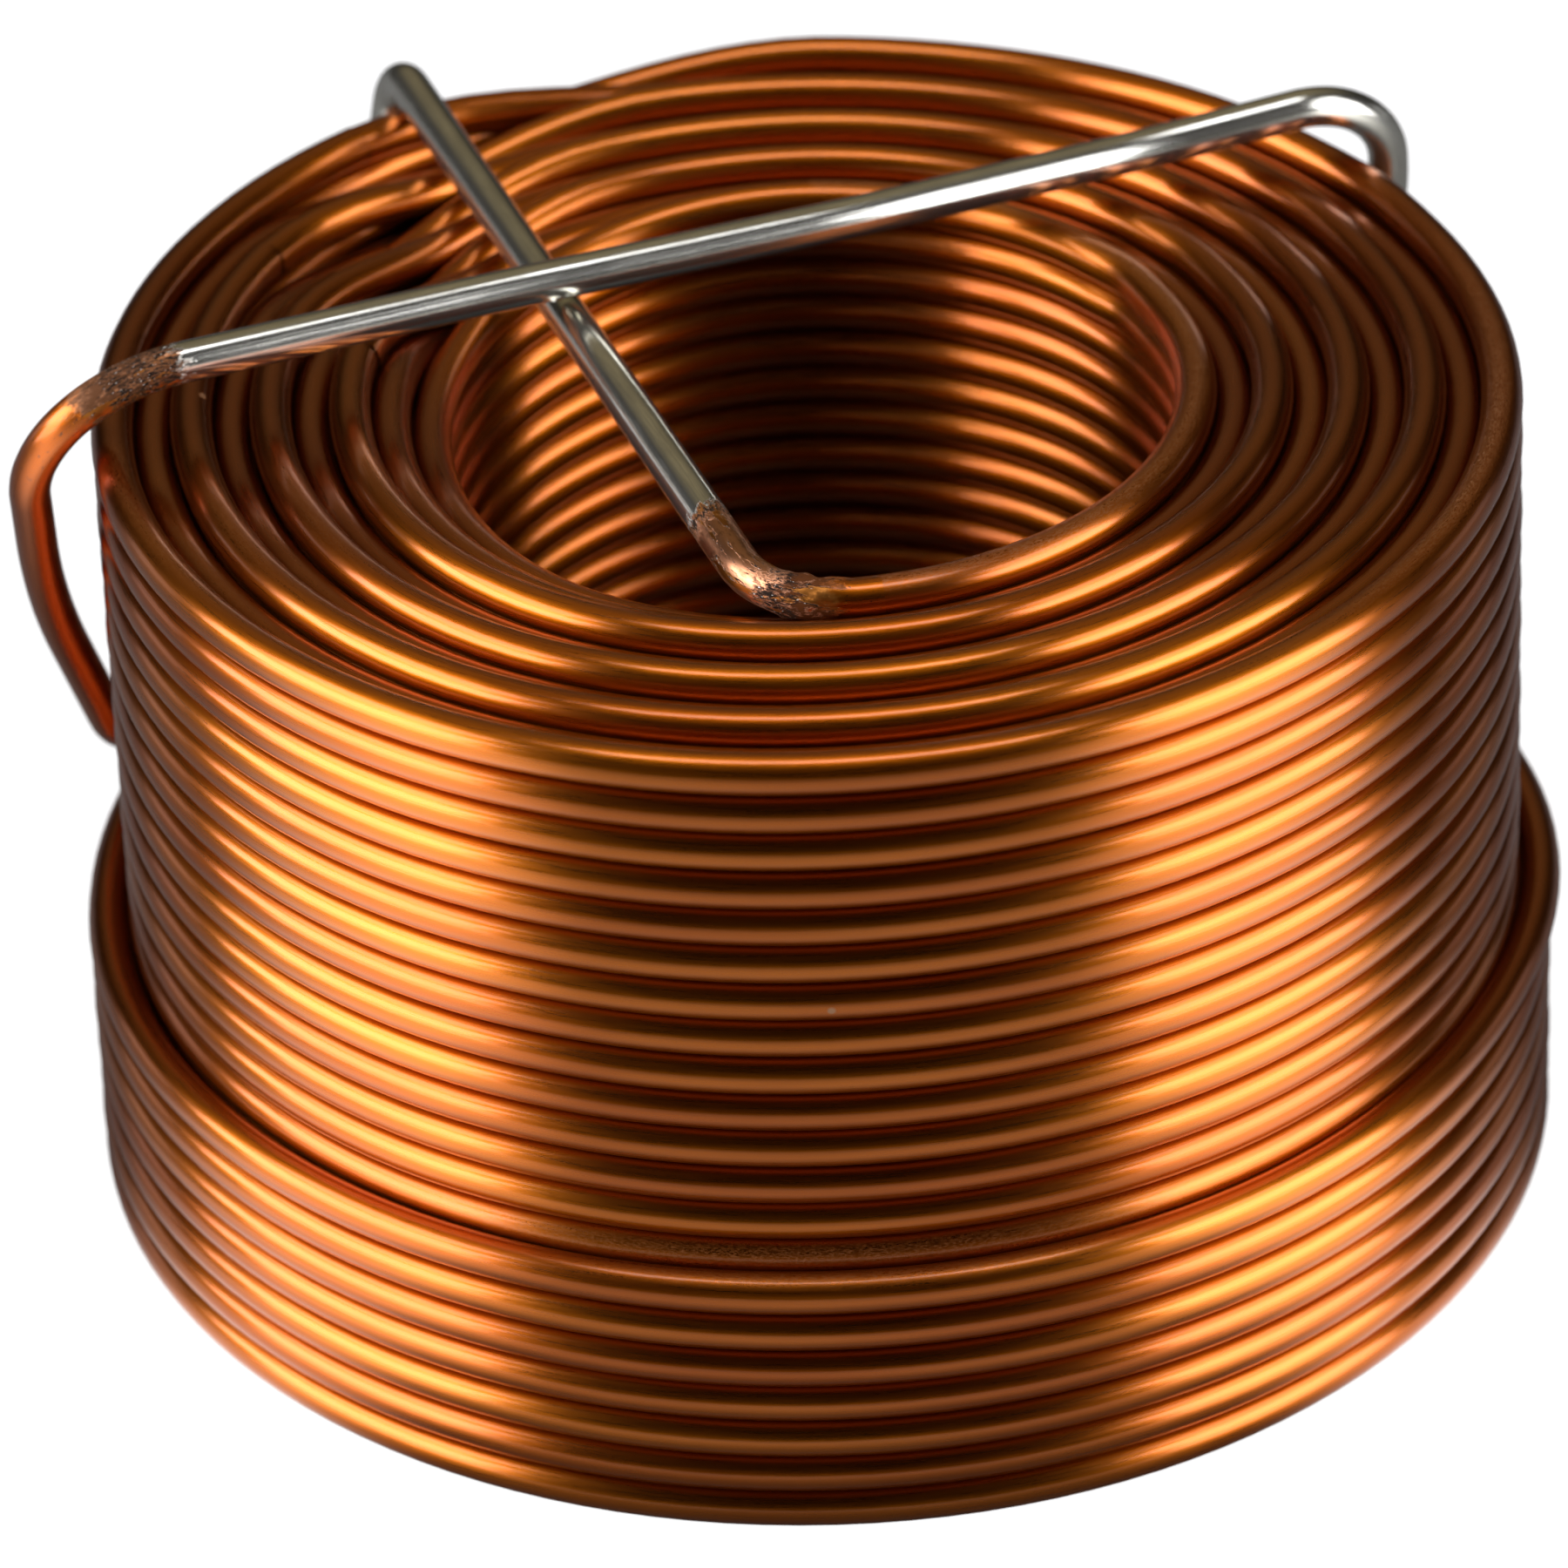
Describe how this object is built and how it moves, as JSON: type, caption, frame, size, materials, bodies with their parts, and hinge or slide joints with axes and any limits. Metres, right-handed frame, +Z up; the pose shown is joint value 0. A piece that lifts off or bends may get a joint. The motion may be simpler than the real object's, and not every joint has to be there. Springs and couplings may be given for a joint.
{
  "type": "air-core inductor coil",
  "caption": "Self-supporting air-core choke: enamelled copper wire wound in nested layers, two tinned leads folded across the open top.",
  "frame": {"origin": "on the coil's axis, at the height of the face it stands on; the middle of its whole box, which also holds the outer lead's arch, is 0.4 mm to the left", "axes": "+Z up along the coil's axis, -Y the front from which the leads' crossing is seen, +X to the right"},
  "size_m": [0.0394, 0.038, 0.024],
  "materials": {
    "enamelled_copper": "copper wire under clear orange-brown enamel, glossy",
    "scorched_copper": "bare pink copper with burnt enamel left on it, dull",
    "tinned_copper": "dip-tinned copper wire, bright with faint streaks"
  },
  "bodies": {
    "coil": {"winding_layer_01": "enamelled_copper", "winding_layer_02": "enamelled_copper", "winding_layer_03": "enamelled_copper", "winding_layer_04": "enamelled_copper", "winding_layer_05": "enamelled_copper", "winding_layer_06": "enamelled_copper", "winding_layer_07": "enamelled_copper", "winding_layer_08": "enamelled_copper", "winding_layer_09": "enamelled_copper", "winding_layer_10": "enamelled_copper", "inner_lead_root": "enamelled_copper", "outer_lead_root": "enamelled_copper"},
    "outer_lead": {"outer_lead_scorched": "scorched_copper", "outer_lead_tinned": "tinned_copper"},
    "inner_lead": {"inner_lead_scorched": "scorched_copper", "inner_lead_tinned": "tinned_copper"}
  },
  "joints": [
    {"name": "outer_lead_bend", "type": "hinge", "parent": "coil", "child": "outer_lead", "pos_m": [-0.01899, -0.00194, 0.02294], "axis": [0.3627, -0.9319, 0], "range_deg": [0, 110]},
    {"name": "inner_lead_bend", "type": "hinge", "parent": "coil", "child": "inner_lead", "pos_m": [-0.00086, -0.00937, 0.02153], "axis": [0.9399, 0.3415, 0], "range_deg": [0, 90]}
  ],
  "couplings": [
    {"joint": "inner_lead_bend", "follows": "outer_lead_bend", "ratio": 0.81818}
  ]
}
